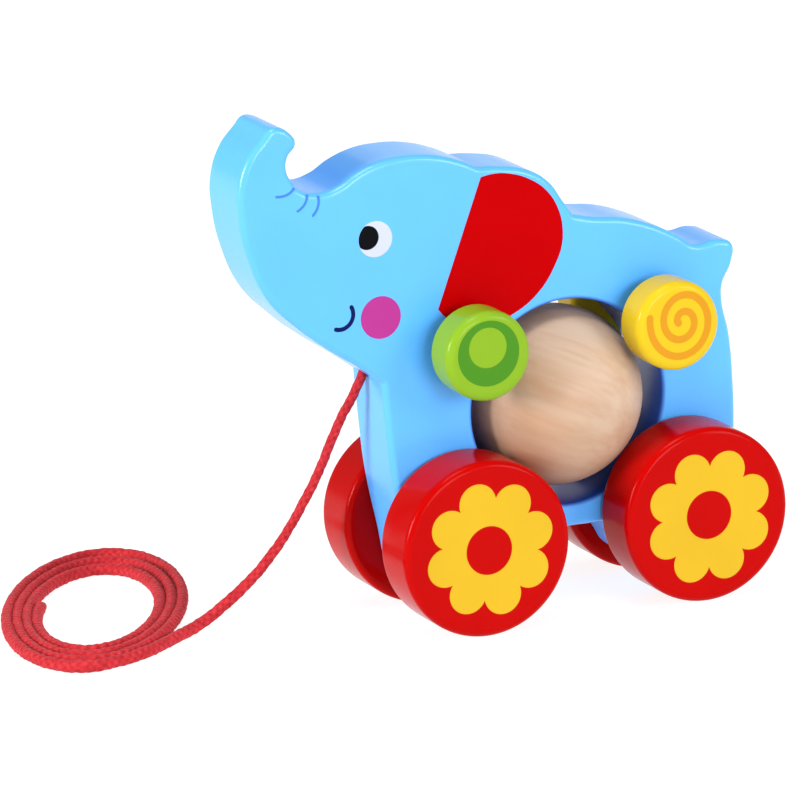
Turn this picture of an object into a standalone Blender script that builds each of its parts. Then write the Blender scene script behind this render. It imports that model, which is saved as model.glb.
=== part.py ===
"""Wooden elephant pull-along toy with four wheels, a free rolling ball and spinning discs.

Metres, +Z up. +X points forward (the trunk), +Y is the elephant's left side and the floor is
z = 0. The origin is on the floor, below the middle of the toy. The slab body stands on two
turning wheel sets. The ball sits inside the belly hole, on the inner edges of the four wheels,
so it turns when the toy is pulled. Two pairs of discs spin on pins through the body.
"""
import math

import bmesh
import bpy
from mathutils import Euler, Vector
from mathutils.geometry import interpolate_bezier

# Body slab
BODY_THICKNESS = 0.0240
BODY_EDGE_RADIUS = 0.0015
BELLY_X = -0.0210
BELLY_Z = 0.0641
BELLY_RADIUS = 0.0322

# Wheels and their axles
WHEEL_RADIUS = 0.0275
WHEEL_THICKNESS = 0.0191
WHEEL_EDGE = 0.0020
WHEEL_INNER_Y = 0.01235
FRONT_AXLE_X = 0.0161
REAR_AXLE_X = 2 * BELLY_X - FRONT_AXLE_X
AXLE_RADIUS = 0.0040
AXLE_DEPTH_IN_WHEEL = 0.0130

# Spinning discs and their pins
DISC_RADIUS = 0.01395
DISC_THICKNESS = 0.0130
DISC_FRONT_EDGE = 0.0028
DISC_BACK_EDGE = 0.0018
DISC_INNER_Y = 0.0165
DISC_PLACES = {"front": (0.0129, 0.0868), "rear": (-0.0508, 0.0876)}
PIN_RADIUS = 0.0030
PIN_DEPTH_IN_DISC = 0.0070

# Ball
BALL_RADIUS = 0.02795

# Clearances
GLUE_GAP = 0.0003
RUNNING_GAP = 0.0003

# Cord
CORD_RADIUS = 0.0015
CORD_BORE_RADIUS = 0.0019
CORD_BORE_DEPTH = 0.0150
CORD_EXIT = Vector((0.0417, 0.0, 0.0797))
CORD_BORE_WAY = Vector((-0.30, 0.0, 0.954)).normalized()
CORD_ROUTE = [
    (0.0448, -0.0010, 0.0726),
    (0.0484, -0.0028, 0.0653),
    (0.0515, -0.0052, 0.0566),
    (0.0546, -0.0080, 0.0474),
    (0.0588, -0.0115, 0.0376),
    (0.0641, -0.0155, 0.0267),
    (0.0711, -0.0189, 0.0168),
    (0.0786, -0.0207, 0.0098),
    (0.0862, -0.0210, 0.0050),
    (0.0922, -0.0196, 0.0027),
]
COIL_CENTRE = Vector((0.1107, -0.0535))
COIL_SHORT_AXIS = Vector((-0.852, 0.525))
COIL_LONG_AXIS = Vector((0.462, 0.886))
COIL_OUTER = (0.0292, 0.0655)
COIL_INNER = (0.0152, 0.0400)

# Side outline of the elephant as x, z and whether the point is a sharp inner corner.
# It starts at the trunk's tip and runs back along the head, ear and back.
SMOOTH, CORNER = "AUTO", "VECTOR"
TRUNK_TIP = [
    (0.0766, 0.1586, SMOOTH), (0.0739, 0.1612, SMOOTH), (0.0708, 0.1611, SMOOTH),
    (0.0674, 0.1589, SMOOTH), (0.0658, 0.1559, SMOOTH), (0.0687, 0.1516, SMOOTH),
    (0.0691, 0.1478, SMOOTH), (0.0680, 0.1451, SMOOTH), (0.0653, 0.1415, SMOOTH),
]
HEAD_TOP = [
    (0.0594, 0.1397, SMOOTH), (0.0528, 0.1409, SMOOTH), (0.0463, 0.1444, SMOOTH),
    (0.0390, 0.1468, SMOOTH), (0.0313, 0.1475, SMOOTH), (0.0208, 0.1465, SMOOTH),
    (0.0117, 0.1436, SMOOTH), (0.0064, 0.1410, CORNER),
]
EAR_TOP = [
    (-0.0001, 0.1404, SMOOTH), (-0.0105, 0.1379, SMOOTH), (-0.0174, 0.1332, SMOOTH),
    (-0.0216, 0.1271, SMOOTH), (-0.0249, 0.1223, CORNER),
]
BACK = [
    (-0.0315, 0.1206, SMOOTH), (-0.0419, 0.1190, SMOOTH), (-0.0524, 0.1153, SMOOTH),
    (-0.0602, 0.1111, SMOOTH), (-0.0655, 0.1077, SMOOTH), (-0.0746, 0.1080, SMOOTH),
    (-0.0785, 0.1062, SMOOTH), (-0.0782, 0.1006, SMOOTH), (-0.0750, 0.0941, SMOOTH),
    (-0.0747, 0.0889, SMOOTH), (-0.0768, 0.0784, SMOOTH), (-0.0779, 0.0627, SMOOTH),
    (-0.0779, 0.0480, SMOOTH),
]
REAR_LEG = [
    (-0.0765, 0.0300, SMOOTH), (-0.0748, 0.0150, SMOOTH), (-0.0730, 0.0104, SMOOTH),
    (-0.0690, 0.0090, SMOOTH), (-0.0580, 0.0090, SMOOTH), (-0.0470, 0.0090, SMOOTH),
    (-0.0422, 0.0115, SMOOTH), (-0.0380, 0.0180, SMOOTH), (-0.0330, 0.0240, SMOOTH),
    (-0.0270, 0.0245, SMOOTH),
]
FRONT_LEG = [
    (-0.0150, 0.0245, SMOOTH), (-0.0090, 0.0240, SMOOTH), (-0.0040, 0.0180, SMOOTH),
    (0.0002, 0.0115, SMOOTH), (0.0050, 0.0090, SMOOTH), (0.0160, 0.0090, SMOOTH),
    (0.0262, 0.0090, SMOOTH), (0.0300, 0.0106, SMOOTH), (0.0318, 0.0150, SMOOTH),
    (0.0341, 0.0272, SMOOTH), (0.0376, 0.0456, SMOOTH), (0.0391, 0.0601, SMOOTH),
    (0.0400, 0.0732, SMOOTH), (0.0404, 0.0785, CORNER),
]
CHIN_AND_TRUNK = [
    (0.0473, 0.0838, SMOOTH), (0.0578, 0.0911, SMOOTH), (0.0683, 0.0998, SMOOTH),
    (0.0767, 0.1089, SMOOTH), (0.0823, 0.1216, SMOOTH), (0.0849, 0.1346, SMOOTH),
    (0.0849, 0.1438, SMOOTH), (0.0816, 0.1529, SMOOTH),
]
OUTLINE = TRUNK_TIP + HEAD_TOP + EAR_TOP + BACK + REAR_LEG + FRONT_LEG + CHIN_AND_TRUNK

# Paint colours, as linear RGB
BLUE = (0.10, 0.55, 0.95)
RED = (0.60, 0.01, 0.01)
GREEN = (0.35, 0.62, 0.03)
YELLOW = (0.90, 0.60, 0.02)
BARE_WOOD = (0.72, 0.50, 0.32)
DOWEL_WOOD = (0.60, 0.42, 0.24)
CORD_RED = (0.70, 0.04, 0.06)

FACE_LEFT = Euler((-math.pi / 2, 0, 0))
FACE_RIGHT = Euler((math.pi / 2, 0, 0))


def clear_scene():
    for old in list(bpy.data.objects):
        bpy.data.objects.remove(old, do_unlink=True)


def new_collection(name):
    collection = bpy.data.collections.new(name)
    bpy.context.scene.collection.children.link(collection)
    return collection


def paint(name, colour, roughness):
    material = bpy.data.materials.new(name)
    material.use_nodes = True
    shader = material.node_tree.nodes["Principled BSDF"]
    shader.inputs["Base Color"].default_value = (*colour, 1.0)
    shader.inputs["Roughness"].default_value = roughness
    shader.inputs["Metallic"].default_value = 0.0
    return material


def add_object(name, data, collection, material=None):
    piece = bpy.data.objects.new(name, data)
    collection.objects.link(piece)
    if material:
        data.materials.append(material)
    return piece


def shade_round(piece, angle=math.radians(35)):
    piece.data.shade_smooth()
    piece.data.set_sharp_from_angle(angle=angle)


def curve_to_mesh(piece):
    """Replace a curve object with a welded mesh object of the same name and place."""
    name, material = piece.name, piece.data.materials[0]
    collection, matrix = piece.users_collection[0], piece.matrix_world.copy()
    graph = bpy.context.evaluated_depsgraph_get()
    mesh = bpy.data.meshes.new_from_object(piece.evaluated_get(graph))
    shape = bmesh.new()
    shape.from_mesh(mesh)
    bmesh.ops.remove_doubles(shape, verts=shape.verts, dist=0.00001)
    bmesh.ops.recalc_face_normals(shape, faces=shape.faces)
    shape.to_mesh(mesh)
    shape.free()
    bpy.data.objects.remove(piece, do_unlink=True)
    mesh.materials.clear()
    solid = add_object(name, mesh, collection, material)
    solid.matrix_world = matrix
    return solid


def closed_bezier(curve, points, resolution):
    spline = curve.splines.new("BEZIER")
    spline.bezier_points.add(len(points) - 1)
    for knot, (x, z, kind) in zip(spline.bezier_points, points):
        knot.co = (x, z, 0)
        knot.handle_left_type = kind
        knot.handle_right_type = kind
    spline.use_cyclic_u = True
    spline.resolution_u = resolution


def circle_points(x, z, radius, count, clockwise):
    turn = -1 if clockwise else 1
    angles = [turn * 2 * math.pi * i / count for i in range(count)]
    return [(x + radius * math.cos(a), z + radius * math.sin(a), SMOOTH) for a in angles]


def cylinder(name, radius, length, collection, segments=32, material=None):
    """A solid cylinder along the object's own Z, centred on its origin."""
    shape = bmesh.new()
    bmesh.ops.create_cone(shape, cap_ends=True, segments=segments, radius1=radius,
                          radius2=radius, depth=length)
    mesh = bpy.data.meshes.new(name)
    shape.to_mesh(mesh)
    shape.free()
    return add_object(name, mesh, collection, material)


def cut(piece, cutter):
    cutter.hide_render = True
    cutter.display_type = "WIRE"
    modifier = piece.modifiers.new(cutter.name, "BOOLEAN")
    modifier.operation = "DIFFERENCE"
    modifier.solver = "EXACT"
    modifier.object = cutter


def cross_bore(name, x, z, radius, cutters):
    """A cutter for a hole straight through the body, side to side."""
    bore = cylinder(name, radius, 2 * BODY_THICKNESS, cutters)
    bore.location = (x, 0, z)
    bore.rotation_euler = FACE_LEFT
    return bore


def make_body(collection, cutters, material):
    curve = bpy.data.curves.new("elephant_body", "CURVE")
    curve.dimensions = "2D"
    curve.fill_mode = "BOTH"
    curve.extrude = BODY_THICKNESS / 2 - BODY_EDGE_RADIUS
    curve.bevel_depth = BODY_EDGE_RADIUS
    curve.offset = -BODY_EDGE_RADIUS
    curve.bevel_resolution = 1
    closed_bezier(curve, OUTLINE, resolution=3)
    closed_bezier(curve, circle_points(BELLY_X, BELLY_Z, BELLY_RADIUS, 8, clockwise=True), 8)
    slab = add_object("elephant_body", curve, collection, material)
    slab.rotation_euler = FACE_RIGHT
    bpy.context.view_layer.update()
    body = curve_to_mesh(slab)
    for end, axle_x in (("front", FRONT_AXLE_X), ("rear", REAR_AXLE_X)):
        radius = AXLE_RADIUS + RUNNING_GAP
        cut(body, cross_bore(end + "_axle_bore", axle_x, WHEEL_RADIUS, radius, cutters))
    for end, (pin_x, pin_z) in DISC_PLACES.items():
        radius = PIN_RADIUS + RUNNING_GAP
        cut(body, cross_bore(end + "_pin_bore", pin_x, pin_z, radius, cutters))
    cut(body, cord_bore(cutters))
    shade_round(body)
    return body


def cord_bore(cutters):
    """A blind hole up into the chin, where the cord is glued in. Its mouth is left open."""
    below = CORD_BORE_RADIUS * 4
    bore = cylinder("cord_bore", CORD_BORE_RADIUS, CORD_BORE_DEPTH + below, cutters, segments=16)
    bore.location = CORD_EXIT + CORD_BORE_WAY * (CORD_BORE_DEPTH - below) / 2
    bore.rotation_euler = CORD_BORE_WAY.to_track_quat("Z", "Y").to_euler()
    return bore


def fillet(radius, height, size, way, steps=3):
    """Points of a rounded edge; way is +1 on the top edge and -1 on the bottom edge."""
    turns = [math.pi / 2 * i / steps for i in range(steps + 1)]
    if way > 0:
        turns.reverse()
    inner, level = radius - size, height - way * size
    return [(inner + size * math.cos(t), level + way * size * math.sin(t)) for t in turns]


def turned(name, profile, collection, material, steps):
    """Turn a half profile of (radius, height) pairs, listed down its outer side, about Z."""
    mesh = bpy.data.meshes.new(name)
    edges = [(i, i + 1) for i in range(len(profile) - 1)]
    mesh.from_pydata([(r, 0, h) for r, h in profile], edges, [])
    piece = add_object(name, mesh, collection, material)
    screw = piece.modifiers.new("turn", "SCREW")
    screw.steps = steps
    screw.render_steps = steps
    screw.use_merge_vertices = True
    screw.merge_threshold = 0.00001
    screw.use_smooth_shade = True
    return piece


def bored_disc(name, radius, thickness, edges, bore_radius, bore_depth, steps, placing):
    """A round wooden disc, rounded on its front and back edges, with a blind bore at z = 0."""
    collection, material = placing
    front_edge, back_edge = edges
    profile = [(0, thickness)]
    profile += fillet(radius, thickness, front_edge, 1)
    profile += fillet(radius, 0, back_edge, -1)
    profile += [(bore_radius, 0), (bore_radius, bore_depth), (0, bore_depth)]
    return turned(name, profile, collection, material, steps)


def put_on_side(piece, x, z, inner_y, side):
    """Stand a disc on the body's left (+1) or right (-1) side, its back face at inner_y."""
    piece.location = (x, side * inner_y, z)
    piece.rotation_euler = FACE_LEFT if side > 0 else FACE_RIGHT


def on_joint_axis(piece_list, name, x, z, collection):
    """Parent pieces that turn together to an empty on their joint's axis."""
    hub = bpy.data.objects.new(name, None)
    collection.objects.link(hub)
    hub.location = (x, 0, z)
    bpy.context.view_layer.update()
    for piece in piece_list:
        piece.parent = hub
        piece.matrix_parent_inverse = hub.matrix_world.inverted()


def dowel(name, x, z, radius, length, collection, material):
    pin = cylinder(name, radius, length, collection, material=material)
    pin.location = (x, 0, z)
    pin.rotation_euler = FACE_LEFT
    shade_round(pin)
    return pin


def make_wheel_set(end, axle_x, collection, red, dowel_wood):
    depth = AXLE_DEPTH_IN_WHEEL
    pieces = []
    for side_name, side in (("left", 1), ("right", -1)):
        wheel = bored_disc(f"{end}_{side_name}_wheel", WHEEL_RADIUS, WHEEL_THICKNESS,
                           (WHEEL_EDGE, WHEEL_EDGE), AXLE_RADIUS + GLUE_GAP, depth + GLUE_GAP,
                           56, (collection, red))
        put_on_side(wheel, axle_x, WHEEL_RADIUS, WHEEL_INNER_Y, side)
        pieces.append(wheel)
    length = 2 * (WHEEL_INNER_Y + depth)
    pieces.append(dowel(end + "_axle", axle_x, WHEEL_RADIUS, AXLE_RADIUS, length, collection,
                        dowel_wood))
    on_joint_axis(pieces, end + "_axle_line", axle_x, WHEEL_RADIUS, collection)


def make_disc_set(end, collection, colour, dowel_wood):
    depth = PIN_DEPTH_IN_DISC
    disc_x, disc_z = DISC_PLACES[end]
    pieces = []
    for side_name, side in (("left", 1), ("right", -1)):
        disc = bored_disc(f"{end}_{side_name}_disc", DISC_RADIUS, DISC_THICKNESS,
                          (DISC_FRONT_EDGE, DISC_BACK_EDGE), PIN_RADIUS + GLUE_GAP,
                          depth + GLUE_GAP, 40, (collection, colour))
        put_on_side(disc, disc_x, disc_z, DISC_INNER_Y, side)
        pieces.append(disc)
    length = 2 * (DISC_INNER_Y + depth)
    pieces.append(dowel(end + "_disc_pin", disc_x, disc_z, PIN_RADIUS, length, collection,
                        dowel_wood))
    on_joint_axis(pieces, end + "_disc_line", disc_x, disc_z, collection)


def ball_height():
    """Height of the ball's centre when it lies, one gap clear, on the wheels' rounded edges."""
    edge_circle = WHEEL_RADIUS - WHEEL_EDGE
    side_way = WHEEL_INNER_Y + WHEEL_EDGE
    reach = BALL_RADIUS + WHEEL_EDGE + RUNNING_GAP
    from_axle = edge_circle + math.sqrt(reach ** 2 - side_way ** 2)
    along = FRONT_AXLE_X - BELLY_X
    return WHEEL_RADIUS + math.sqrt(from_axle ** 2 - along ** 2)


def make_ball(collection, material):
    shape = bmesh.new()
    bmesh.ops.create_uvsphere(shape, u_segments=36, v_segments=18, radius=BALL_RADIUS)
    mesh = bpy.data.meshes.new("belly_ball")
    shape.to_mesh(mesh)
    shape.free()
    ball = add_object("belly_ball", mesh, collection, material)
    ball.location = (BELLY_X, 0, ball_height())
    ball.rotation_euler = FACE_LEFT
    mesh.shade_smooth()
    return ball


def smooth_route(points, spacing):
    """Points along a smooth curve through the given ones, about one spacing apart."""
    knots = [Vector(p) for p in points]
    slopes = []
    for i in range(len(knots)):
        before, after = knots[max(i - 1, 0)], knots[min(i + 1, len(knots) - 1)]
        slopes.append((after - before).normalized())
    route = [knots[0]]
    for i in range(len(knots) - 1):
        reach = (knots[i + 1] - knots[i]).length
        first, second = knots[i] + slopes[i] * reach / 3, knots[i + 1] - slopes[i + 1] * reach / 3
        pieces = max(2, round(reach / spacing) + 1)
        route += interpolate_bezier(knots[i], first, second, knots[i + 1], pieces)[1:]
    return route


def make_cord(collection, material):
    """The free run of the cord, from inside the chin's bore down to the coil's edge."""
    seated = CORD_EXIT + CORD_BORE_WAY * (CORD_BORE_DEPTH - GLUE_GAP)
    route = smooth_route([seated, CORD_EXIT] + CORD_ROUTE, spacing=0.005)
    curve = bpy.data.curves.new("pull_cord", "CURVE")
    curve.dimensions = "3D"
    curve.bevel_depth = CORD_RADIUS
    curve.bevel_resolution = 2
    curve.use_fill_caps = True
    spline = curve.splines.new("POLY")
    spline.points.add(len(route) - 1)
    for knot, place in zip(spline.points, route):
        knot.co = (*place, 1)
    cord = curve_to_mesh(add_object("pull_cord", curve, collection, material))
    cord.data.shade_smooth()
    return cord


def oval(half_short, half_long, count, clockwise):
    """Points of an oval laid out on the coil's two axes."""
    points = []
    for x, y, kind in circle_points(0, 0, 1, count, clockwise):
        place = COIL_CENTRE + COIL_SHORT_AXIS * half_short * x + COIL_LONG_AXIS * half_long * y
        points.append((place.x, place.y, kind))
    return points


def make_coil(collection, material):
    """The flat ring that the cord's turns fill, lying on the floor."""
    curve = bpy.data.curves.new("cord_coil", "CURVE")
    curve.dimensions = "2D"
    curve.fill_mode = "BOTH"
    curve.extrude = CORD_RADIUS
    closed_bezier(curve, oval(*COIL_OUTER, 24, clockwise=False), 2)
    closed_bezier(curve, oval(*COIL_INNER, 24, clockwise=True), 2)
    ring = add_object("cord_coil", curve, collection, material)
    ring.location = (0, 0, CORD_RADIUS)
    bpy.context.view_layer.update()
    coil = curve_to_mesh(ring)
    shade_round(coil)
    return coil


def main():
    clear_scene()
    toy = new_collection("elephant_pull_toy")
    cutters = new_collection("cutters")
    blue = paint("blue_paint", BLUE, 0.3)
    red = paint("red_paint", RED, 0.25)
    green = paint("green_paint", GREEN, 0.25)
    yellow = paint("yellow_paint", YELLOW, 0.25)
    bare_wood = paint("ball_wood", BARE_WOOD, 0.5)
    dowel_wood = paint("dowel_wood", DOWEL_WOOD, 0.6)
    cord_red = paint("cord_braid", CORD_RED, 0.8)
    make_body(toy, cutters, blue)
    make_wheel_set("front", FRONT_AXLE_X, toy, red, dowel_wood)
    make_wheel_set("rear", REAR_AXLE_X, toy, red, dowel_wood)
    make_disc_set("front", toy, green, dowel_wood)
    make_disc_set("rear", toy, yellow, dowel_wood)
    make_ball(toy, bare_wood)
    make_cord(toy, cord_red)
    make_coil(toy, cord_red)


main()
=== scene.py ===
"""Looks of the elephant pull-along toy: fine painted wood, printed faces and a braided cord.

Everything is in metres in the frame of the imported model: +X is forward, +Y is the elephant's
left side, +Z is up and the floor is z = 0.
"""
import math

import bmesh
import bpy
import numpy as np
from mathutils import Matrix, Vector
from mathutils.geometry import interpolate_bezier


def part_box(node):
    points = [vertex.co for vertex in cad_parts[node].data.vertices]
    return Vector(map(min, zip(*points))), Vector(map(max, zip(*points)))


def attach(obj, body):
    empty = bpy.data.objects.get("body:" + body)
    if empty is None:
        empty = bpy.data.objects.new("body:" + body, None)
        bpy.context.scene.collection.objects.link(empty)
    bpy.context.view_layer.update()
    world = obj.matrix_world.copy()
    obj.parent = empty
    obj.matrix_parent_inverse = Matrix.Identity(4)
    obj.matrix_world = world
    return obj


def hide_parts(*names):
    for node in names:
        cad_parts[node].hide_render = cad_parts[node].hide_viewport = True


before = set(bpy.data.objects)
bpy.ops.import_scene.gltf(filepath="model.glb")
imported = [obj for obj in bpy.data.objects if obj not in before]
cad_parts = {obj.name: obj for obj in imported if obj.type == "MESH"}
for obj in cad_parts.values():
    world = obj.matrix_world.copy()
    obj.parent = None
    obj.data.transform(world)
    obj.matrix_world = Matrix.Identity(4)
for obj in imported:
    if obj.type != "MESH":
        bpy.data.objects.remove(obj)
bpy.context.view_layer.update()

MM = 0.001


def middle(node):
    """The middle of a CAD node's box at rest."""
    low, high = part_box(node)
    return (low + high) / 2


# ---------------------------------------------------------------- camera

CAMERA_TARGET = Vector((0.03136, 0.0, 0.07098))
CAMERA_AZIMUTH = math.radians(156.03)
CAMERA_ELEVATION = math.radians(14.80)
CAMERA_ROLL = math.radians(-1.96)
CAMERA_DISTANCE = 2.3531
CAMERA_LENS = 353.2
CAMERA_SENSOR = 36


def make_camera():
    data = bpy.data.cameras.new("camera")
    data.lens = CAMERA_LENS
    data.sensor_width = CAMERA_SENSOR
    data.clip_start = 0.1
    data.clip_end = 20
    camera = bpy.data.objects.new("camera", data)
    bpy.context.scene.collection.objects.link(camera)
    flat = math.cos(CAMERA_ELEVATION)
    back = Vector((math.sin(CAMERA_AZIMUTH) * flat, -math.cos(CAMERA_AZIMUTH) * flat,
                   math.sin(CAMERA_ELEVATION)))
    right = (-back).cross(Vector((0, 0, 1))).normalized()
    up = right.cross(-back)
    turn_cos, turn_sin = math.cos(CAMERA_ROLL), math.sin(CAMERA_ROLL)
    right, up = right * turn_cos + up * turn_sin, up * turn_cos - right * turn_sin
    rotation = Matrix((right, up, back)).transposed().to_4x4()
    camera.matrix_world = Matrix.Translation(CAMERA_TARGET + back * CAMERA_DISTANCE) @ rotation
    bpy.context.scene.camera = camera


# ---------------------------------------------------------------- materials

def shader_nodes(name):
    material = bpy.data.materials.new(name)
    material.use_nodes = True
    nodes, links = material.node_tree.nodes, material.node_tree.links
    return material, nodes, links, nodes["Principled BSDF"]


def scaled(colour, factor):
    return (*[min(1.0, c * factor) for c in colour], 1.0)


def halfway(first, second):
    return (*[(a + b) / 2 for a, b in zip(first, second)], 1.0)


def noise(nodes, links, vector, scale, detail=3.0, roughness=0.55):
    texture = nodes.new("ShaderNodeTexNoise")
    texture.inputs["Scale"].default_value = scale
    texture.inputs["Detail"].default_value = detail
    texture.inputs["Roughness"].default_value = roughness
    links.new(vector, texture.inputs["Vector"])
    return texture.outputs["Fac"]


def ramp(nodes, links, fac, stops):
    node = nodes.new("ShaderNodeValToRGB")
    elements = node.color_ramp.elements
    while len(elements) < len(stops):
        elements.new(0.5)
    for element, (place, colour) in zip(elements, stops):
        element.position = place
        element.color = colour
    links.new(fac, node.inputs["Fac"])
    return node.outputs["Color"]


def bump(nodes, links, height, strength, distance, shader, before=None):
    node = nodes.new("ShaderNodeBump")
    node.inputs["Strength"].default_value = strength
    node.inputs["Distance"].default_value = distance
    links.new(height, node.inputs["Height"])
    if before:
        links.new(before, node.inputs["Normal"])
    links.new(node.outputs["Normal"], shader.inputs["Normal"])
    return node.outputs["Normal"]


def stretched(nodes, links, scales):
    """Object coordinates, stretched, so that a noise read at them runs in streaks."""
    where = nodes.new("ShaderNodeTexCoord")
    mapping = nodes.new("ShaderNodeMapping")
    mapping.inputs["Scale"].default_value = scales
    links.new(where.outputs["Object"], mapping.inputs["Vector"])
    return mapping.outputs["Vector"], where.outputs["Object"]


# How much brighter than its own colour a matt face turned to the camera shows in this studio
LIGHT_LEVEL = 1.42


def seen(red, green, blue):
    """The linear paint colour that shows as this 0 to 255 sRGB colour under the studio light."""
    return tuple((((c / 255 + 0.055) / 1.055) ** 2.4 if c > 10 else c / 255 / 12.92)
                 / LIGHT_LEVEL for c in (red, green, blue))


def gloss_paint(name, colour, roughness=0.24, specular=0.15, variation=0.03):
    """Sprayed gloss paint on wood: faint cloudiness, orange peel and grain that shows through."""
    material, nodes, links, shader = shader_nodes(name)
    streaks, plain = stretched(nodes, links, (1.0, 6.0, 9.0))
    cloud = noise(nodes, links, plain, 38.0, detail=4.0)
    tint = ramp(nodes, links, cloud, [(0.3, scaled(colour, 1 - variation)),
                                      (0.7, scaled(colour, 1 + variation))])
    links.new(tint, shader.inputs["Base Color"])
    gloss = noise(nodes, links, plain, 160.0, detail=2.0)
    rough = nodes.new("ShaderNodeMapRange")
    rough.inputs["To Min"].default_value = roughness - 0.05
    rough.inputs["To Max"].default_value = roughness + 0.05
    links.new(gloss, rough.inputs["Value"])
    links.new(rough.outputs["Result"], shader.inputs["Roughness"])
    grain = noise(nodes, links, streaks, 150.0, detail=5.0)
    peel = noise(nodes, links, plain, 1400.0, detail=1.0)
    first = bump(nodes, links, grain, 0.10, 0.0002, shader)
    bump(nodes, links, peel, 0.05, 0.0001, shader, before=first)
    shader.inputs["Specular IOR Level"].default_value = specular
    return material


def paint_hole_shade(material, deep):
    """Paint shade into the hole: blend the paint towards a deeper tone where the mesh says that
    it is inside the hole.
    """
    nodes, links = material.node_tree.nodes, material.node_tree.links
    shader = nodes["Principled BSDF"]
    plain = shader.inputs["Base Color"].links[0].from_socket
    inside = nodes.new("ShaderNodeAttribute")
    inside.attribute_name = "in_hole"
    mix = nodes.new("ShaderNodeMix")
    mix.data_type = "RGBA"
    links.new(inside.outputs["Fac"], mix.inputs["Factor"])
    links.new(plain, mix.inputs["A"])
    mix.inputs["B"].default_value = (*deep, 1.0)
    links.new(mix.outputs["Result"], shader.inputs["Base Color"])


def grain_space(nodes, links, along, across, scales):
    """Coordinates whose X runs along the wood's grain."""
    along = Vector(along).normalized()
    across = (Vector(across) - along * along.dot(Vector(across))).normalized()
    third = along.cross(across)
    where = nodes.new("ShaderNodeTexCoord")
    combine = nodes.new("ShaderNodeCombineXYZ")
    for axis, scale, socket in zip((along, across, third), scales, "XYZ"):
        dot = nodes.new("ShaderNodeVectorMath")
        dot.operation = "DOT_PRODUCT"
        dot.inputs[1].default_value = axis * scale
        links.new(where.outputs["Object"], dot.inputs[0])
        links.new(dot.outputs["Value"], combine.inputs[socket])
    return combine.outputs["Vector"]


def bare_wood(name, light, dark, along, across):
    """Sanded hardwood: wide soft bands and fine streaks along one grain."""
    material, nodes, links, shader = shader_nodes(name)
    bands = grain_space(nodes, links, along, across, (6.0, 110.0, 180.0))
    fine = grain_space(nodes, links, along, across, (13.0, 520.0, 700.0))
    wide = noise(nodes, links, bands, 1.0, detail=4.0, roughness=0.5)
    narrow = noise(nodes, links, fine, 1.0, detail=3.0)
    blend = nodes.new("ShaderNodeMix")
    blend.data_type = "FLOAT"
    blend.inputs["Factor"].default_value = 0.24
    links.new(wide, blend.inputs["A"])
    links.new(narrow, blend.inputs["B"])
    tint = ramp(nodes, links, blend.outputs["Result"], [
        (0.32, (*dark, 1.0)), (0.47, halfway(light, dark)), (0.60, (*light, 1.0))])
    links.new(tint, shader.inputs["Base Color"])
    shader.inputs["Roughness"].default_value = 0.48
    shader.inputs["Specular IOR Level"].default_value = 0.4
    bump(nodes, links, narrow, 0.05, 0.0002, shader)
    return material


def shade_and_tone_one_side(material, way, centre, reach, shade_and_tone_tint):
    """Darken and redden the wood towards one side of a piece: painted shade, partly the wood's
    own tone.
    """
    nodes, links = material.node_tree.nodes, material.node_tree.links
    shader = nodes["Principled BSDF"]
    plain = shader.inputs["Base Color"].links[0].from_socket
    where = nodes.new("ShaderNodeTexCoord")
    dot = nodes.new("ShaderNodeVectorMath")
    dot.operation = "DOT_PRODUCT"
    way = Vector(way).normalized()
    dot.inputs[1].default_value = way
    links.new(where.outputs["Object"], dot.inputs[0])
    spread = nodes.new("ShaderNodeMapRange")
    spread.inputs["From Min"].default_value = way.dot(centre) - reach
    spread.inputs["From Max"].default_value = way.dot(centre) + reach
    links.new(dot.outputs["Value"], spread.inputs["Value"])
    mix = nodes.new("ShaderNodeMix")
    mix.data_type = "RGBA"
    mix.blend_type = "MULTIPLY"
    links.new(spread.outputs["Result"], mix.inputs["Factor"])
    links.new(plain, mix.inputs["A"])
    mix.inputs["B"].default_value = (*shade_and_tone_tint, 1.0)
    links.new(mix.outputs["Result"], shader.inputs["Base Color"])


def cord_braid(name, bright, deep):
    """Cotton braid: a painted highlight on the strands' crowns and painted shade in the crevices,
    from the strand height, and uneven tone all along.
    """
    material, nodes, links, shader = shader_nodes(name)
    # The strand height paints highlight on the crowns and shade in the crevices
    depth = nodes.new("ShaderNodeAttribute")
    depth.attribute_name = "strand_height"
    where = nodes.new("ShaderNodeTexCoord")
    fibre = noise(nodes, links, where.outputs["Object"], 2400.0, detail=3.0)
    patch = noise(nodes, links, where.outputs["Object"], 620.0, detail=3.0)
    total = None
    for source, weight in ((depth.outputs["Fac"], 0.30), (fibre, 0.32), (patch, 0.38)):
        share = nodes.new("ShaderNodeMath")
        share.operation = "MULTIPLY_ADD"
        share.inputs[1].default_value = weight
        share.inputs[2].default_value = 0.0
        links.new(source, share.inputs[0])
        if total:
            links.new(total, share.inputs[2])
        total = share.outputs["Value"]
    tint = ramp(nodes, links, total, [
        (0.30, (*deep, 1.0)), (0.50, halfway(bright, deep)), (0.70, (*bright, 1.0))])
    links.new(tint, shader.inputs["Base Color"])
    shader.inputs["Roughness"].default_value = 0.85
    shader.inputs["Specular IOR Level"].default_value = 0.15
    shader.inputs["Sheen Weight"].default_value = 0.08
    shader.inputs["Sheen Roughness"].default_value = 0.4
    bump(nodes, links, total, 0.8, 0.0006, shader)
    return material


# The blue channel is at its full strength, because the brightest sky blue needs all of it
BLUE = (*seen(100, 201, 255)[:2], 1.0)
RED = seen(203, 3, 1)
EAR_RED = seen(204, 0, 4)
PETAL = seen(237, 191, 41)
GREEN = seen(146, 190, 40)
DARK_GREEN = seen(80, 150, 35)
YELLOW = seen(240, 203, 34)
ORANGE = seen(231, 159, 34)
MAGENTA = seen(197, 59, 158)
NAVY = seen(16, 26, 92)
BLACK = seen(8, 9, 16)
EYE_WHITE = seen(220, 227, 243)
WRINKLE = seen(76, 138, 235)

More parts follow.
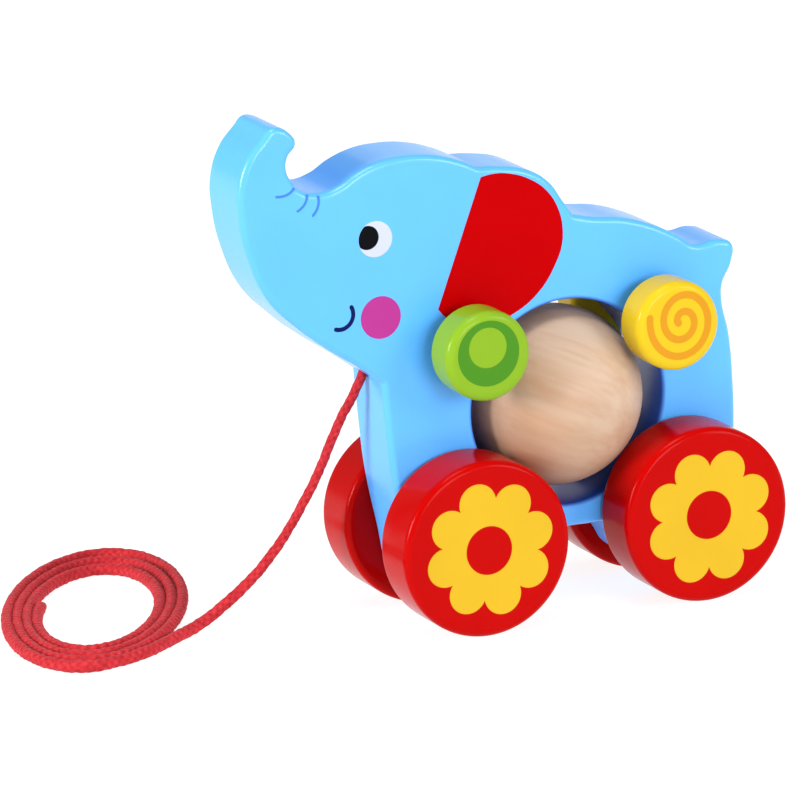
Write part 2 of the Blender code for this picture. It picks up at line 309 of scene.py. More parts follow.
PAINT = {
    "blue": gloss_paint("blue_gloss_paint", BLUE, specular=0.45),
    "red": gloss_paint("red_gloss_paint", RED, roughness=0.19, specular=0.06),
    "ear_red": gloss_paint("ear_red_print", EAR_RED, specular=0.02),
    "petal": gloss_paint("petal_yellow_print", PETAL, specular=0.1),
    "green": gloss_paint("green_gloss_paint", GREEN, roughness=0.19, specular=0.12),
    "dark_green": gloss_paint("dark_green_print", DARK_GREEN, specular=0.1),
    "yellow": gloss_paint("yellow_gloss_paint", YELLOW, roughness=0.19, specular=0.12),
    "orange": gloss_paint("orange_print", ORANGE, specular=0.1),
    "magenta": gloss_paint("cheek_print", MAGENTA, specular=0.1),
    "navy": gloss_paint("mouth_print", NAVY, specular=0.06),
    "black": gloss_paint("pupil_print", BLACK, specular=0.06),
    "white": gloss_paint("eye_white_print", EYE_WHITE, specular=0.1),
    "wrinkle": gloss_paint("wrinkle_print", WRINKLE, specular=0.1),
}
# Painted shade for the belly hole's wall and rounding: a deeper, darker blue
HOLE_SHADE_BLUE = seen(35, 100, 235)
paint_hole_shade(PAINT["blue"], HOLE_SHADE_BLUE)

BALL_WOOD = bare_wood("ball_sanded_wood", seen(229, 203, 179), seen(217, 180, 150),
                      along=(-0.85, 0.38, -0.40), across=(0, 1, 0))
# The ball's front bottom is painted darker and redder: painted shade, partly the wood's own tone
shade_and_tone_one_side(BALL_WOOD, (0.75, 0.0, -0.65), middle("belly_ball"), 24 * MM, (0.80, 0.64, 0.53))
DOWEL_WOOD = bare_wood("dowel_beech", seen(226, 194, 152), seen(200, 162, 118),
                       along=(0, 1, 0), across=(0, 0, 1))
# The braid's lighter and darker colours also carry its painted crown highlight and crevice shade
BRAID = cord_braid("red_cotton_braid", seen(240, 62, 70), seen(158, 10, 22))


# ---------------------------------------------------------------- mesh helpers

def add_piece(name, mesh, material, body, replaced=()):
    piece = bpy.data.objects.new(name, mesh)
    bpy.context.scene.collection.objects.link(piece)
    mesh.materials.append(material)
    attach(piece, body)
    if replaced:
        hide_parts(*replaced)
    return piece


def finish_mesh(shape, name, sharp_angle=40):
    mesh = bpy.data.meshes.new(name)
    bmesh.ops.recalc_face_normals(shape, faces=shape.faces)
    shape.to_mesh(mesh)
    shape.free()
    mesh.shade_smooth()
    mesh.set_sharp_from_angle(angle=math.radians(sharp_angle))
    return mesh


def curve_loop(points, resolution):
    """The x, z points of a closed smooth curve through the outline's points, in order."""
    curve = bpy.data.curves.new("guide", "CURVE")
    curve.dimensions = "2D"
    curve.fill_mode = "NONE"
    spline = curve.splines.new("BEZIER")
    spline.bezier_points.add(len(points) - 1)
    for knot, (x, z, kind) in zip(spline.bezier_points, points):
        knot.co = (x, z, 0)
        knot.handle_left_type = kind
        knot.handle_right_type = kind
    spline.use_cyclic_u = True
    spline.resolution_u = resolution
    guide = bpy.data.objects.new("guide", curve)
    bpy.context.scene.collection.objects.link(guide)
    graph = bpy.context.evaluated_depsgraph_get()
    mesh = guide.evaluated_get(graph).to_mesh()
    loop = np.array([v.co[:2] for v in mesh.vertices])
    bpy.data.objects.remove(guide, do_unlink=True)
    bpy.data.curves.remove(curve)
    return loop


def circle(x, z, radius, count=96, clockwise=False):
    way = -1 if clockwise else 1
    angles = way * np.arange(count) * 2 * math.pi / count
    return np.column_stack((x + radius * np.cos(angles), z + radius * np.sin(angles)))


def outward(loop):
    """Unit normals in the loop's plane, pointing out of the material."""
    ahead = np.roll(loop, -1, axis=0) - loop
    ahead /= np.linalg.norm(ahead, axis=1)[:, None]
    tangent = ahead + np.roll(ahead, 1, axis=0)
    tangent /= np.linalg.norm(tangent, axis=1)[:, None]
    return np.column_stack((tangent[:, 1], -tangent[:, 0]))


SHARE_OF_BEND = 0.85
ROUNDING_STEP = 0.06 * MM


def safe_rounding(loop, radius):
    """The edge rounding at each point, smaller where the outline itself bends more tightly.

    It then changes slowly from point to point, so that no step shows along the edge.
    """
    ahead = np.roll(loop, -1, axis=0) - loop
    behind = np.roll(ahead, 1, axis=0)
    cross = behind[:, 0] * ahead[:, 1] - behind[:, 1] * ahead[:, 0]
    turn = np.arctan2(cross, (ahead * behind).sum(axis=1))
    bend = turn / ((np.linalg.norm(ahead, axis=1) + np.linalg.norm(behind, axis=1)) / 2)
    bend = (bend + np.roll(bend, 1) + np.roll(bend, -1)) / 3
    limit = SHARE_OF_BEND / np.maximum(bend, 1.0)
    rounding = np.minimum(radius, limit)
    for _ in range(12):
        near = np.minimum(np.roll(rounding, 1), np.roll(rounding, -1))
        rounding = np.minimum(rounding, near + ROUNDING_STEP)
    for _ in range(6):
        rounding = (rounding * 2 + np.roll(rounding, 1) + np.roll(rounding, -1)) / 4
    return rounding


EDGE_STEPS = 6
# A narrow flat ring beside each rounded edge keeps the shading of the flat face even
SUPPORT = 0.35 * MM


def slab_rings(loop, half, radius):
    """Rings of points around a slab's edge, from its +Y face to its -Y face."""
    normal = outward(loop)
    rounding = safe_rounding(loop, radius)
    section = [(1.0, SUPPORT, 0.0)]
    section += [(1 - math.cos(a), 0.0, 1 - math.sin(a))
                for a in np.linspace(math.pi / 2, 0, EDGE_STEPS + 1)]
    rings = []
    for inset, extra, drop in section:
        flat = loop - normal * (rounding * inset + extra)[:, None]
        rings.append(np.column_stack((flat[:, 0], half - rounding * drop, flat[:, 1])))
    rings.append(np.column_stack((loop[:, 0], half - rounding - SUPPORT, loop[:, 1])))
    mirror = [ring * np.array([1, -1, 1]) for ring in reversed(rings)]
    return rings + mirror


def add_rings(shape, rings):
    """Join rings of equal counts with quads; returns the edges of the first and last ring."""
    made = [[shape.verts.new(p) for p in ring] for ring in rings]
    count = len(made[0])
    for first, second in zip(made, made[1:]):
        for i in range(count):
            j = (i + 1) % count
            shape.faces.new((first[i], first[j], second[j], second[i]))
    ends = []
    for ring in (made[0], made[-1]):
        ends.append([shape.edges.get((ring[i], ring[(i + 1) % count])) for i in range(count)])
    return ends


def cap(shape, edges):
    bmesh.ops.triangle_fill(shape, use_beauty=True, use_dissolve=False, edges=edges)


def cut_with(piece, cutter):
    modifier = piece.modifiers.new("cut", "BOOLEAN")
    modifier.operation = "DIFFERENCE"
    modifier.solver = "EXACT"
    modifier.object = cutter
    graph = bpy.context.evaluated_depsgraph_get()
    mesh = bpy.data.meshes.new_from_object(piece.evaluated_get(graph))
    piece.modifiers.clear()
    old = piece.data
    piece.data = mesh
    bpy.data.meshes.remove(old)
    bpy.data.objects.remove(cutter, do_unlink=True)


def revolved(name, profile, centre, side, steps=128):
    """Turn a half profile of (radius, height), from axis to axis, about a line along Y."""
    shape = bmesh.new()
    angles = np.arange(steps) * 2 * math.pi / steps
    columns = []
    for radius, height in profile:
        y = centre[1] + side * height
        if radius == 0:
            columns.append([shape.verts.new((centre[0], y, centre[2]))])
            continue
        columns.append([shape.verts.new((centre[0] + radius * math.sin(a), y,
                                         centre[2] + radius * math.cos(a))) for a in angles])
    for first, second in zip(columns, columns[1:]):
        for i in range(steps):
            j = (i + 1) % steps
            corners = [first[i % len(first)], first[j % len(first)],
                       second[j % len(second)], second[i % len(second)]]
            shape.faces.new(list(dict.fromkeys(corners)))
    return finish_mesh(shape, name)


def rounded_disc_profile(radius, thickness, front_edge, back_edge, bore, depth, steps=8):
    """Half profile of a wooden disc with both edges rounded and a blind bore behind."""
    profile = [(0, thickness), (radius - front_edge - 2 * SUPPORT, thickness)]
    for i in range(steps + 1):
        a = math.pi / 2 * (1 - i / steps)
        profile.append((radius - front_edge + front_edge * math.cos(a),
                        thickness - front_edge + front_edge * math.sin(a)))
    profile.append((radius, thickness - front_edge - SUPPORT))
    profile.append((radius, back_edge + SUPPORT))
    for i in range(steps + 1):
        a = math.pi / 2 * i / steps
        profile.append((radius - back_edge + back_edge * math.cos(a),
                        back_edge - back_edge * math.sin(a)))
    profile.append((radius - back_edge - 2 * SUPPORT, 0))
    profile += [(bore, 0), (bore, depth), (0, depth)]
    return profile


# ---------------------------------------------------------------- prints

PRINT_SUNK = 0.03 * MM
PRINT_PROUD = 0.03 * MM


def print_patch(name, loops, face_y, side, paint, body, layer=1):
    """A thin film of ink: the first loop is its outline and any others are holes in it."""
    low, high = face_y - PRINT_SUNK, face_y + layer * PRINT_PROUD
    shape = bmesh.new()
    tops, bottoms = [], []
    for loop in loops:
        rings = [np.column_stack((loop[:, 0], np.full(len(loop), side * y), loop[:, 1]))
                 for y in (high, low)]
        top, bottom = add_rings(shape, rings)
        tops += top
        bottoms += bottom
    cap(shape, tops)
    cap(shape, bottoms)
    mesh = finish_mesh(shape, name, sharp_angle=30)
    return add_piece(name, mesh, PAINT[paint], body)


def stroke(points, width, end_steps=8):
    """The outline of a brush stroke with round ends along the given points."""
    line = np.array(points, float)
    ahead = np.gradient(line, axis=0)
    ahead /= np.linalg.norm(ahead, axis=1)[:, None]
    side = np.column_stack((-ahead[:, 1], ahead[:, 0])) * width / 2

    def round_end(centre, start):
        base = math.atan2(start[1], start[0])
        turns = base - math.pi * np.arange(1, end_steps) / end_steps
        return centre + width / 2 * np.column_stack((np.cos(turns), np.sin(turns)))

    return np.vstack((line + side, round_end(line[-1], side[-1]),
                      (line - side)[::-1], round_end(line[0], -side[0])))


def arc(x, z, radius, start, end, count=24):
    """Points of an arc; angles in degrees from +Z towards -X, as seen from the left side."""
    angles = np.radians(np.linspace(start, end, count))
    return np.column_stack((x - radius * np.sin(angles), z + radius * np.cos(angles)))


def bent_line(first, middle, last, count=14):
    """Points of a parabola through three points."""
    t = np.linspace(0, 1, count)[:, None]
    first, middle, last = (np.array(p, float) for p in (first, middle, last))
    control = 2 * middle - (first + last) / 2
    return (1 - t) ** 2 * first + 2 * t * (1 - t) * control + t ** 2 * last


# ---------------------------------------------------------------- the cord

CORD_EXIT = Vector((0.0417, 0.0, 0.0797))
CORD_BORE_WAY = Vector((-0.30, 0.0, 0.954)).normalized()
CORD_SEATED = 14.7 * MM
CORD_ROUTE = [
    (0.0448, -0.0010, 0.0726),
    (0.0484, -0.0028, 0.0653),
    (0.0515, -0.0052, 0.0566),
    (0.0546, -0.0078, 0.0474),
    (0.0588, -0.0108, 0.0376),
    (0.0641, -0.0146, 0.0267),
    (0.0711, -0.0177, 0.0168),
    (0.0786, -0.0193, 0.0098),
    (0.0862, -0.0190, 0.0050),
    (0.0920, -0.0176, 0.0027),
    (0.0978, -0.0148, 0.0019),
    (0.1042, -0.0105, 0.0017),
    (0.1104, -0.0060, 0.0017),
    (0.1161, -0.0024, 0.0017),
    (0.1210, -0.0002, 0.0017),
    (0.1262, 0.0014, 0.0017),
]
COIL_CENTRE = np.array((0.1094, -0.0551))
COIL_DRIFT = np.array((0.0008, 0.0014))
COIL_SHORT_AXIS = np.array((-0.852, 0.525))
COIL_LONG_AXIS = np.array((0.462, 0.886))
COIL_START = math.radians(84)
COIL_END = math.radians(1267)
COIL_SHORT, COIL_SHORT_STEP = 29.1 * MM, 3.22 * MM
COIL_LONG, COIL_LONG_STEP = 65.4 * MM, 7.15 * MM
POINTS_PER_TURN = 24

RING_SPACING = 0.32 * MM
RING_POINTS = 36
STRANDS = 4
BRAID_PITCH = 11.0 * MM
BRAID_DEPTH = 0.24 * MM
TAUT_RADIUS = 1.52 * MM
SLACK_RADIUS = 1.94 * MM
SLACK_FROM, SLACK_BY = 70 * MM, 115 * MM
FLOOR_LIFT = 0.01 * MM
CURVE_STEPS = 24


def coil_points():
    """The turns on the floor: an oval that shrinks evenly as the cord runs inward."""
    count = round((COIL_END - COIL_START) / (2 * math.pi) * POINTS_PER_TURN)
    points = []
    for t in np.linspace(COIL_START, COIL_END, count):
        turns = t / (2 * math.pi)
        short = (COIL_SHORT - COIL_SHORT_STEP * turns) * math.cos(t)
        long = (COIL_LONG - COIL_LONG_STEP * turns) * math.sin(t)
        place = (COIL_CENTRE + turns * COIL_DRIFT + short * COIL_SHORT_AXIS
                 + long * COIL_LONG_AXIS)
        points.append((place[0], place[1], SLACK_RADIUS))
    return points


def evenly(points, spacing):
    """Points an equal distance apart along a smooth curve through the given ones."""
    knots = [Vector(p) for p in points]
    slopes = []
    for i in range(len(knots)):
        before, after = knots[max(i - 1, 0)], knots[min(i + 1, len(knots) - 1)]
        slopes.append((after - before).normalized())
    fine = [knots[0]]
    for i in range(len(knots) - 1):
        reach = (knots[i + 1] - knots[i]).length / 3
        first, second = knots[i] + slopes[i] * reach, knots[i + 1] - slopes[i + 1] * reach
        fine += interpolate_bezier(knots[i], first, second, knots[i + 1], CURVE_STEPS)[1:]
    fine = np.array([tuple(p) for p in fine])
    walked = np.concatenate(([0], np.cumsum(np.linalg.norm(np.diff(fine, axis=0), axis=1))))
    count = int(walked[-1] / spacing) + 1
    wanted = np.linspace(0, walked[-1], count)
    line = np.column_stack([np.interp(wanted, walked, fine[:, k]) for k in range(3)])
    return line, wanted


def carried_frames(line):
    """Two directions across the line at each point, carried along it without twist."""
    ahead = np.gradient(line, axis=0)
    ahead /= np.linalg.norm(ahead, axis=1)[:, None]
    side = np.cross(ahead[0], (0, 1, 0))
    sides = []
    for way in ahead:
        side = side - way * side.dot(way)
        side /= np.linalg.norm(side)
        sides.append(side)
    sides = np.array(sides)
    return sides, np.cross(ahead, sides)


def strand_height(angle, along):
    """Height, 0 to 1, of a round braid of strands that pass over and under each other."""
    turn = 2 * math.pi * along / BRAID_PITCH
    right = STRANDS * (angle - turn) / (2 * math.pi)
    left = STRANDS * (angle + turn) / (2 * math.pi)

    def family(own, other, sign):
        index = np.round(own)
        crown = 1 - (1.7 * (own - index)) ** 2
        over = 0.5 + 0.5 * sign * np.cos(math.pi * (other + index))
        # each stretch of a strand is pulled a little more or less tight than its neighbours
        slack = 0.86 + 0.14 * np.sin(7.3 * index + 1.9 * np.round(other))
        return crown * slack * (0.40 + 0.60 * over)

    return np.maximum(family(right, left, 1), family(left, right, -1))


def unevenness(angles, along):
    """Small swells and dents, so that no two strands look the same."""
    turn, walk = angles[None, :], along[:, None] / MM
    return 0.05 * MM * (np.sin(2.3 * walk + 2 * turn) + np.sin(1.37 * walk - 3 * turn + 1)
                        + 0.8 * np.sin(0.61 * walk + turn + 2))


def make_cord():
    seat = CORD_EXIT + CORD_BORE_WAY * CORD_SEATED
    route = [tuple(seat), tuple(CORD_EXIT)] + CORD_ROUTE + coil_points()
    line, along = evenly(route, RING_SPACING)
    sides, ups = carried_frames(line)
    angles = np.arange(RING_POINTS) * 2 * math.pi / RING_POINTS
    height = strand_height(angles[None, :], along[:, None])
    slack = np.clip((along - SLACK_FROM) / (SLACK_BY - SLACK_FROM), 0, 1)
    full = TAUT_RADIUS + (SLACK_RADIUS - TAUT_RADIUS) * slack
    radius = full[:, None] - BRAID_DEPTH * (1 - height) + unevenness(angles, along)
    ring = (sides[:, None, :] * np.cos(angles)[None, :, None]
            + ups[:, None, :] * np.sin(angles)[None, :, None])
    points = line[:, None, :] + ring * radius[:, :, None]
    points[:, :, 2] = np.maximum(points[:, :, 2], FLOOR_LIFT)
    rings, count = points.shape[:2]
    verts = points.reshape(-1, 3)
    i = np.arange(rings - 1)[:, None] * count
    j = np.arange(count)[None, :]
    k = (j + 1) % count
    quads = np.stack((i + j, i + k, i + count + k, i + count + j), axis=-1).reshape(-1, 4)
    faces = [tuple(q) for q in quads.tolist()]
    last = (rings - 1) * count
    faces.append(tuple(range(count))[::-1])
    faces.append(tuple(range(last, last + count)))
    mesh = bpy.data.meshes.new("braided_pull_cord")
    mesh.from_pydata(verts.tolist(), [], faces)
    # The strand height also sets the braid's painted crown highlight and crevice shade
    layer = mesh.attributes.new("strand_height", "FLOAT", "POINT")
    layer.data.foreach_set("value", height.reshape(-1).astype(np.float32))
    mesh.shade_smooth()
    cord = add_piece("braided_pull_cord", mesh, BRAID, "root",
                     ("pull_cord", "cord_coil"))


# ---------------------------------------------------------------- the body

SMOOTH, CORNER = "AUTO", "VECTOR"
OUTLINE = [
    # trunk tip
    (0.0766, 0.1586, SMOOTH), (0.0739, 0.1612, SMOOTH), (0.0708, 0.1611, SMOOTH),
    (0.0674, 0.1589, SMOOTH), (0.0658, 0.1559, SMOOTH), (0.0687, 0.1516, SMOOTH),
    (0.0691, 0.1478, SMOOTH), (0.0680, 0.1451, SMOOTH), (0.0653, 0.1415, SMOOTH),
    # head
    (0.0594, 0.1397, SMOOTH), (0.0528, 0.1409, SMOOTH), (0.0463, 0.1444, SMOOTH),
    (0.0390, 0.1468, SMOOTH), (0.0313, 0.1475, SMOOTH), (0.0208, 0.1465, SMOOTH),
    (0.0117, 0.1436, SMOOTH), (0.0064, 0.1410, CORNER),
    # ear
    (-0.0001, 0.1404, SMOOTH), (-0.0105, 0.1379, SMOOTH), (-0.0174, 0.1332, SMOOTH),
    (-0.0216, 0.1271, SMOOTH), (-0.0249, 0.1223, CORNER),
    # back and tail
    (-0.0315, 0.1206, SMOOTH), (-0.0419, 0.1190, SMOOTH), (-0.0524, 0.1153, SMOOTH),
    (-0.0602, 0.1111, SMOOTH), (-0.0655, 0.1077, SMOOTH), (-0.0746, 0.1080, SMOOTH),
    (-0.0785, 0.1062, SMOOTH), (-0.0782, 0.1006, SMOOTH), (-0.0750, 0.0941, SMOOTH),
    (-0.0747, 0.0889, SMOOTH), (-0.0768, 0.0784, SMOOTH), (-0.0779, 0.0627, SMOOTH),
    (-0.0779, 0.0480, SMOOTH),
    # rear leg
    (-0.0765, 0.0300, SMOOTH), (-0.0748, 0.0150, SMOOTH), (-0.0730, 0.0104, SMOOTH),
    (-0.0690, 0.0090, SMOOTH), (-0.0580, 0.0090, SMOOTH), (-0.0470, 0.0090, SMOOTH),
    (-0.0422, 0.0115, SMOOTH), (-0.0380, 0.0180, SMOOTH), (-0.0330, 0.0240, SMOOTH),
    (-0.0270, 0.0245, SMOOTH),
    # front leg
    (-0.0150, 0.0245, SMOOTH), (-0.0090, 0.0240, SMOOTH), (-0.0040, 0.0180, SMOOTH),
    (0.0002, 0.0115, SMOOTH), (0.0050, 0.0090, SMOOTH), (0.0160, 0.0090, SMOOTH),
    (0.0262, 0.0090, SMOOTH), (0.0300, 0.0106, SMOOTH), (0.0318, 0.0150, SMOOTH),
    (0.0341, 0.0272, SMOOTH), (0.0376, 0.0456, SMOOTH), (0.0391, 0.0601, SMOOTH),
    (0.0400, 0.0732, SMOOTH), (0.0404, 0.0785, CORNER),
    # chin and trunk
    (0.0473, 0.0838, SMOOTH), (0.0578, 0.0911, SMOOTH), (0.0683, 0.0998, SMOOTH),
    (0.0767, 0.1089, SMOOTH), (0.0823, 0.1216, SMOOTH), (0.0849, 0.1346, SMOOTH),
    (0.0849, 0.1438, SMOOTH), (0.0816, 0.1529, SMOOTH),
]
EDGE_ROUNDING = 1.9 * MM
HOLE_ROUNDING = 1.3 * MM
BELLY = (-0.0210, 0.0641, 0.0322)
BORE_GAP = 0.3 * MM
BORE_ROUNDING = 0.4 * MM
OUTLINE_STEPS = 9
CORD_HOLE_RADIUS = 1.9 * MM
CORD_HOLE_DEPTH = 24 * MM
CORD_HOLE_MIDDLE = 3 * MM


def make_body():
    low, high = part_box("elephant_body")
    half = (high.y - low.y) / 2
    outline = curve_loop(OUTLINE, OUTLINE_STEPS)
    outline[:, 1] = outline[:, 1].clip(low.z, high.z)
    loops = [(outline, EDGE_ROUNDING),
             (circle(*BELLY, count=160, clockwise=True), HOLE_ROUNDING)]
    for node in ("front_axle", "rear_axle", "front_disc_pin", "rear_disc_pin"):
        at = middle(node)
        box_low, box_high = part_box(node)
        radius = (box_high.z - box_low.z) / 2 + BORE_GAP
        loops.append((circle(at.x, at.z, radius, count=48, clockwise=True),
                      BORE_ROUNDING))
    shape = bmesh.new()
    left, right = [], []
    for loop, rounding in loops:
        first, last = add_rings(shape, slab_rings(loop, half, rounding))
        left += first
        right += last
    cap(shape, left)
    cap(shape, right)
    mesh = finish_mesh(shape, "painted_body", sharp_angle=42)
    body = add_piece("painted_body", mesh, PAINT["blue"], "root",
                     ("elephant_body",))
    cord_hole = bmesh.new()
    bmesh.ops.create_cone(cord_hole, cap_ends=True, segments=32, radius1=CORD_HOLE_RADIUS,
                          radius2=CORD_HOLE_RADIUS, depth=CORD_HOLE_DEPTH)
    hole_mesh = bpy.data.meshes.new("cord_hole")
    cord_hole.to_mesh(hole_mesh)
    cord_hole.free()
    cutter = bpy.data.objects.new("cord_hole", hole_mesh)
    bpy.context.scene.collection.objects.link(cutter)
    cutter.matrix_world = (Matrix.Translation(CORD_EXIT + CORD_BORE_WAY * CORD_HOLE_MIDDLE)
                           @ CORD_BORE_WAY.to_track_quat("Z", "Y").to_matrix().to_4x4())
    bpy.context.view_layer.update()
    cut_with(body, cutter)
    # Mark the hole's wall and rounding, fading across the rounding: the blue paint gets painted
    # shade there
    places = np.array([v.co for v in body.data.vertices])
    from_axis = np.hypot(places[:, 0] - BELLY[0], places[:, 2] - BELLY[1]) - BELLY[2]
    layer = body.data.attributes.new("in_hole", "FLOAT", "POINT")
    layer.data.foreach_set("value", (1 - from_axis / HOLE_ROUNDING).clip(0, 1))
    return half


# Each print's x, z and radius
EYE = (0.0414, 0.1235, 5.55 * MM)
PUPIL = (0.0440, 0.1242, 3.7 * MM)
CHEEK = (0.0405, 0.0991, 6.6 * MM)
MOUTH = (0.0539, 0.1015, 4.4 * MM)
MOUTH_ENDS = (62, 199)
MOUTH_WIDTH = 1.35 * MM
WRINKLE_WIDTH = 0.8 * MM
WRINKLES = [
    ((0.0674, 0.1423), (0.0698, 0.1407), (0.0731, 0.1405)),
    ((0.0631, 0.1397), (0.0641, 0.1371), (0.0664, 0.1353)),
    ((0.0595, 0.1389), (0.0598, 0.1358), (0.0615, 0.1333)),
]
EAR = [
    (0.0060, 0.1381, CORNER), (0.0019, 0.1386, SMOOTH), (-0.0027, 0.1382, SMOOTH),
    (-0.0105, 0.1353, SMOOTH), (-0.0163, 0.1306, SMOOTH), (-0.0198, 0.1242, SMOOTH),
    (-0.0208, 0.1189, SMOOTH), (-0.0204, 0.1137, SMOOTH), (-0.0187, 0.1092, SMOOTH),
    (-0.0125, 0.1003, SMOOTH), (-0.0030, 0.0941, SMOOTH), (0.0080, 0.0912, SMOOTH),
    (0.0192, 0.0964, SMOOTH), (0.0215, 0.0990, CORNER),
]


def pupil_loop():
    """The pupil's circle, cut off where it would pass the white of the eye."""
    pupil = circle(*PUPIL)
    eye_centre = np.array(EYE[:2])
    away = pupil - eye_centre
    reach = np.linalg.norm(away, axis=1)
    held = np.minimum(reach, EYE[2] - 0.05 * MM)
    return eye_centre + away * (held / reach)[:, None]


def make_face_prints(half):
    for side_name, side in (("left", 1), ("right", -1)):
        patches = [
            ("ear", [curve_loop(EAR, 8)], "ear_red", 1),
            ("eye_white", [circle(*EYE)], "white", 1),
            ("pupil", [pupil_loop()], "black", 2),
            ("cheek", [circle(*CHEEK)], "magenta", 1),
            ("mouth", [stroke(arc(*MOUTH, *MOUTH_ENDS), MOUTH_WIDTH)], "navy", 1),
        ]
        for i, points in enumerate(WRINKLES, 1):
            patches.append((f"wrinkle_{i}", [stroke(bent_line(*points), WRINKLE_WIDTH)],
                            "wrinkle", 1))
        for part, loops, paint, layer in patches:
            print_patch(f"{side_name}_{part}", loops, half, side, paint, "root",
                        layer)


# ---------------------------------------------------------------- wheels, discs and ball

PETALS = 8
PETAL_CENTRE = 15.22 * MM
PETAL_RADIUS = 6.12 * MM
FLOWER_EYE = 7.6 * MM
# Each flower's notch angle, and how far its petals and its eye sit off the wheel's middle
FLOWERS = {
    "front": (8.5, (-0.55 * MM, 0.1 * MM), (-0.2 * MM, -0.2 * MM)),
    "rear": (2.0, (-0.45 * MM, -0.5 * MM), (-0.3 * MM, 0.1 * MM)),
}
FACE_RECESS = 0.05 * MM
# Front edge, back edge, bore radius and bore depth
WHEEL_TURNING = (2.2 * MM, 2.0 * MM, 4.3 * MM, 13.3 * MM)
DISC_TURNING = (2.5 * MM, 1.8 * MM, 3.3 * MM, 7.3 * MM)


def flower_loop(x, z, notch):
    """A ring of round petals; notch is where two meet, in degrees from +Z towards -X."""
    step = 2 * math.pi / PETALS
    between = PETAL_CENTRE * math.cos(step / 2)
    apart = PETAL_CENTRE * math.sin(step / 2)
    notch_out = between + math.sqrt(PETAL_RADIUS ** 2 - apart ** 2)
    spread = math.atan2(notch_out * math.sin(step / 2),
                        notch_out * math.cos(step / 2) - PETAL_CENTRE)
    points = []
    for petal in range(PETALS):
        middle_angle = math.radians(notch) + step * (petal + 0.5)
        cx = x - PETAL_CENTRE * math.sin(middle_angle)
        cz = z + PETAL_CENTRE * math.cos(middle_angle)
        for a in np.linspace(middle_angle - spread, middle_angle + spread, 20)[:-1]:
            points.append((cx - PETAL_RADIUS * math.sin(a), cz + PETAL_RADIUS * math.cos(a)))
    return np.array(points)


def inner_and_outer(node):
    """The distances from the middle plane of a piece's inner and outer faces."""
    low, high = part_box(node)
    near, far = sorted((abs(low.y), abs(high.y)))
    return near, far


def make_wheel(end, side_name, side):
    node = f"{end}_{side_name}_wheel"
    at = middle(node)
    low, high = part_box(node)
    radius = (high.z - low.z) / 2
    near, far = inner_and_outer(node)
    profile = rounded_disc_profile(radius, far - near - FACE_RECESS, *WHEEL_TURNING)
    mesh = revolved(node + "_painted", profile, (at.x, side * near, at.z), side)
    body = end + "_wheelset"
    add_piece(node + "_painted", mesh, PAINT["red"], body, (node,))
    notch, petals_off, eye_off = FLOWERS[end]
    flower = [flower_loop(at.x + petals_off[0], at.z + petals_off[1], notch),
              circle(at.x + eye_off[0], at.z + eye_off[1], FLOWER_EYE, clockwise=True)]
    print_patch(f"{end}_{side_name}_flower", flower, far - FACE_RECESS, side, "petal", body)


# Each print's place across and up from the disc's middle, and its radius
RING_PRINT = (0.3 * MM, 1.2 * MM, 10.15 * MM)
RING_HOLE = (0.5 * MM, 3.0 * MM, 6.25 * MM)
SPIRAL_WIDTH = 2.3 * MM
SPIRAL_SHIFT = (-1.1 * MM, 1.6 * MM)
SPIRAL_START = 1.6 * MM
SPIRAL_WIDE_GROWTH = 4.68 * MM
SPIRAL_TALL_GROWTH = 5.25 * MM
SPIRAL_ENDS = (-0.05, 2.03)


def spiral_loop(x, z):
    """An orange spiral that winds out from the middle, clockwise seen from the left side.

    Turns are counted from the front (+X) side.
    """
    turns = np.linspace(*SPIRAL_ENDS, 130)
    angle = 2 * math.pi * turns
    wide = SPIRAL_START + SPIRAL_WIDE_GROWTH * turns
    tall = SPIRAL_START + SPIRAL_TALL_GROWTH * turns
    points = np.column_stack((x + SPIRAL_SHIFT[0] + wide * np.cos(angle),
                              z + SPIRAL_SHIFT[1] + tall * np.sin(angle)))
    return stroke(points, SPIRAL_WIDTH)


def make_disc(end, side_name, side, paint):
    node = f"{end}_{side_name}_disc"
    at = middle(node)
    low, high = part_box(node)
    radius = (high.z - low.z) / 2
    near, far = inner_and_outer(node)
    profile = rounded_disc_profile(radius, far - near - FACE_RECESS, *DISC_TURNING)
    mesh = revolved(node + "_painted", profile, (at.x, side * near, at.z), side, steps=96)
    body = end + "_disc_set"
    add_piece(node + "_painted", mesh, PAINT[paint], body, (node,))
    if paint == "green":
        loops = [circle(at.x + RING_PRINT[0], at.z + RING_PRINT[1], RING_PRINT[2]),
                 circle(at.x + RING_HOLE[0], at.z + RING_HOLE[1], RING_HOLE[2],
                        clockwise=True)]
        print_patch(f"{end}_{side_name}_ring", loops, far - FACE_RECESS, side, "dark_green",
                    body)
    else:
        print_patch(f"{end}_{side_name}_spiral", [spiral_loop(at.x, at.z)],
                    far - FACE_RECESS, side, "orange", body)


def make_ball():
    at = middle("belly_ball")
    low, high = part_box("belly_ball")
    shape = bmesh.new()
    bmesh.ops.create_icosphere(shape, subdivisions=6, radius=(high.y - low.y) / 2,
                               matrix=Matrix.Translation(at))
    mesh = finish_mesh(shape, "turned_ball")
    add_piece("turned_ball", mesh, BALL_WOOD, "ball", ("belly_ball",))


def finish_dowels():
    for node in ("front_axle", "rear_axle", "front_disc_pin", "rear_disc_pin"):
        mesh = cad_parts[node].data
        mesh.materials.clear()
        mesh.materials.append(DOWEL_WOOD)


# ---------------------------------------------------------------- floor and light

TOY_MIDDLE = Vector((0, 0, 0.08))


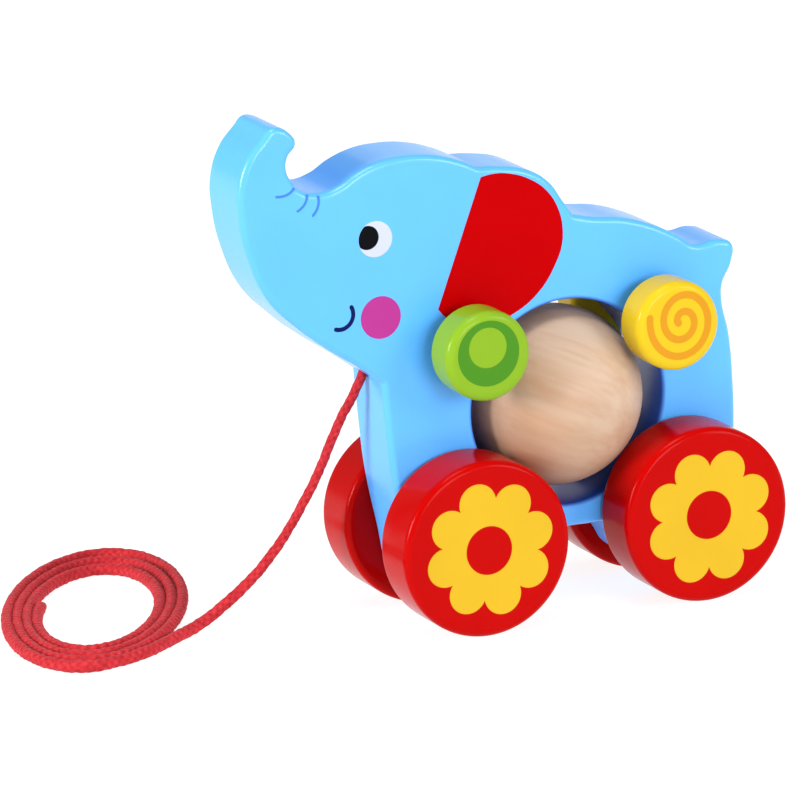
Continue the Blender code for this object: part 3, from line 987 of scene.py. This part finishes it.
def make_stage():
    shape = bmesh.new()
    bmesh.ops.create_grid(shape, x_segments=1, y_segments=1, size=6.0)
    mesh = bpy.data.meshes.new("floor")
    shape.to_mesh(mesh)
    shape.free()
    floor = bpy.data.objects.new("floor", mesh)
    bpy.context.scene.collection.objects.link(floor)
    material, _, _, shader = shader_nodes("white_paper_floor")
    shader.inputs["Base Color"].default_value = (0.25, 0.25, 0.25, 1.0)
    shader.inputs["Roughness"].default_value = 0.9
    shader.inputs["Specular IOR Level"].default_value = 0.0
    shader.inputs["Emission Color"].default_value = (1.0, 1.0, 1.0, 1.0)
    shader.inputs["Emission Strength"].default_value = 0.88
    mesh.materials.append(material)


def area_light(name, place, size, power):
    """A soft white square light that faces the toy."""
    data = bpy.data.lights.new(name, "AREA")
    data.shape = "SQUARE"
    data.size = size
    data.energy = power
    light = bpy.data.objects.new(name, data)
    bpy.context.scene.collection.objects.link(light)
    light.location = place
    aim = TOY_MIDDLE - Vector(place)
    light.rotation_mode = "QUATERNION"
    light.rotation_quaternion = aim.to_track_quat("-Z", "Y")


def make_light():
    world = bpy.data.worlds.new("white_studio")
    world.use_nodes = True
    sky = world.node_tree.nodes["Background"]
    sky.inputs["Color"].default_value = (1.0, 1.0, 1.0, 1.0)
    sky.inputs["Strength"].default_value = 0.42
    bpy.context.scene.world = world
    area_light("key_softbox", (2.6, 0.15, 0.8), 0.8, 66.0)
    area_light("front_softbox", (-0.2, 2.4, 0.6), 0.9, 25.0)
    area_light("fill_softbox", (-1.5, 1.8, 0.9), 1.0, 24.0)
    area_light("top_softbox", (0.3, 0.6, 2.2), 0.8, 20.0)
    area_light("back_card", (-1.4, -2.2, 0.8), 1.8, 5.0)
    bpy.context.scene.view_settings.view_transform = "Standard"


# ---------------------------------------------------------------- everything

make_camera()
make_cord()
half_thickness = make_body()
make_face_prints(half_thickness)
for end in ("front", "rear"):
    for side_name, side in (("left", 1), ("right", -1)):
        make_wheel(end, side_name, side)
for end, paint, slot in (("front", "green", "green_paint"), ("rear", "yellow", "yellow_paint")):
    for side_name, side in (("left", 1), ("right", -1)):
        make_disc(end, side_name, side, paint)
make_ball()
finish_dowels()
make_stage()
make_light()
